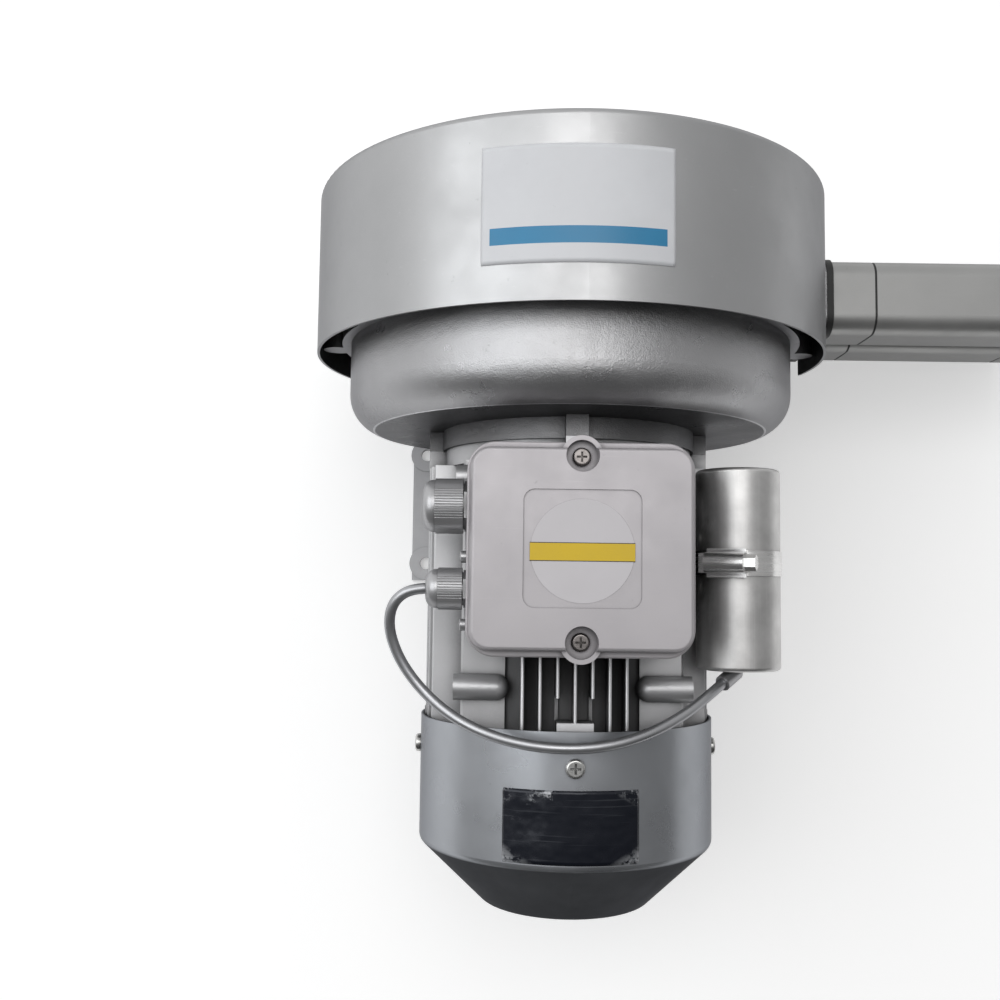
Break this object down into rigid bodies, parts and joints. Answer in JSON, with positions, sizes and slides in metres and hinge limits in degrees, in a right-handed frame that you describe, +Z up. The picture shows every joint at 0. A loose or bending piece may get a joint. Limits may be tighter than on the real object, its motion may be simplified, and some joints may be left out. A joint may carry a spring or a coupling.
{
  "type": "side channel blower",
  "caption": "Side channel blower: flanged motor with terminal box, capacitor and fan cowl, split ring casing under a drum cover, stacked ducts to one side, bracket foot.",
  "frame": {"origin": "centre of the four foot holes, at floor level", "axes": "+Z up; the shaft lies along Y at Z = 168 mm, with the drum cover at +Y and the fan cowl at -Y; the ducts run to +X"},
  "size_m": [0.5046, 0.426, 0.3246],
  "materials": {
    "silver_lacquer_cast": "satin silver lacquer on fine cast aluminium",
    "silver_lacquer_drum": "smooth satin silver lacquer on sheet steel",
    "silver_lacquer_cowl": "smooth satin silver lacquer on sheet steel, slightly darker",
    "silver_lacquer_lid": "pale satin lacquer on die-cast aluminium",
    "silver_lacquer_frame": "silver lacquer on cast fins",
    "silver_lacquer_duct": "grey-silver lacquer on extruded aluminium",
    "silver_lacquer_foot": "silver lacquer on welded steel",
    "silver_lacquer_plastic": "silver overspray on moulded plastic",
    "silver_lacquer_cable": "silver overspray on a round cable sheath",
    "capacitor_aluminium": "bright satin drawn can",
    "bare_aluminium": "machined cast aluminium",
    "ground_steel": "ground and turned steel",
    "zinc_steel": "zinc plated fasteners",
    "stainless_band": "bright stainless strip",
    "bearing_steel": "polished hardened steel",
    "lamination_steel": "stacked electrical sheet",
    "enamelled_copper": "varnished copper windings",
    "brass": "bright brass terminals",
    "black_rubber": "black rubber",
    "grey_gasket": "fibre gasket",
    "black_plastic": "moulded black plastic",
    "foam": "open-cell sound absorbing lining",
    "film_roll": "wound film element in resin"
  },
  "bodies": {
    "housing": {"bearing_outer_rings": "bearing_steel", "box_gasket": "black_rubber", "box_screws": "zinc_steel", "bracket_screws": "zinc_steel", "capacitor_bracket": "silver_lacquer_frame", "capacitor_cable": "silver_lacquer_cable", "capacitor_can": "capacitor_aluminium", "capacitor_end_cap": "silver_lacquer_plastic", "capacitor_gland_nut": "silver_lacquer_plastic", "capacitor_winding": "film_roll", "casing_bolts": "zinc_steel", "casing_front": "silver_lacquer_cast", "casing_gasket": "grey_gasket", "casing_rear": "silver_lacquer_cast", "clamp_band": "stainless_band", "clamp_housing": "stainless_band", "clamp_screw": "stainless_band", "cowl_screws": "zinc_steel", "drum_cover": "silver_lacquer_drum", "drum_screws": "zinc_steel", "duct_gaskets": "black_rubber", "duct_tie_rods": "zinc_steel", "fan_cowl": "silver_lacquer_cowl", "foot_bracket": "silver_lacquer_foot", "foot_bracket_bolts": "zinc_steel", "gland_bodies": "silver_lacquer_plastic", "gland_locknuts": "black_plastic", "gland_seals": "black_rubber", "lid_screws": "zinc_steel", "motor_bolts": "zinc_steel", "motor_frame": "silver_lacquer_frame", "port_collars": "silver_lacquer_duct", "port_flanges": "silver_lacquer_duct", "port_grommets": "black_rubber", "rear_end_shield": "bare_aluminium", "shaft_seal": "black_rubber", "shield_bolts": "zinc_steel", "side_plugs": "silver_lacquer_plastic", "silencer_linings": "foam", "silencers": "silver_lacquer_duct", "stator_core": "lamination_steel", "stator_windings": "enamelled_copper", "supply_gland_nut": "silver_lacquer_plastic", "terminal_block": "black_plastic", "terminal_box": "silver_lacquer_lid", "terminal_lid": "silver_lacquer_lid", "terminal_studs": "brass", "wave_washer": "ground_steel"},
    "rotor": {"motor_shaft": "ground_steel", "rotor_core": "lamination_steel", "rotor_end_rings": "bare_aluminium", "bearing_inner_rings": "bearing_steel", "impeller": "bare_aluminium", "impeller_key": "ground_steel", "impeller_washer": "zinc_steel", "impeller_bolt": "zinc_steel", "cooling_fan": "black_plastic", "fan_circlip": "ground_steel"},
    "ball_cages": {"bearing_balls": "bearing_steel", "bearing_cages": "brass"}
  },
  "joints": [
    {"name": "rotor_spin", "type": "hinge", "parent": "housing", "child": "rotor", "pos_m": [0, 0, 0.168], "axis": [0, 1, 0], "continuous": true},
    {"name": "cage_spin", "type": "hinge", "parent": "housing", "child": "ball_cages", "pos_m": [0, 0, 0.168], "axis": [0, 1, 0], "continuous": true}
  ],
  "couplings": [
    {"joint": "cage_spin", "follows": "rotor_spin", "ratio": 0.4}
  ]
}
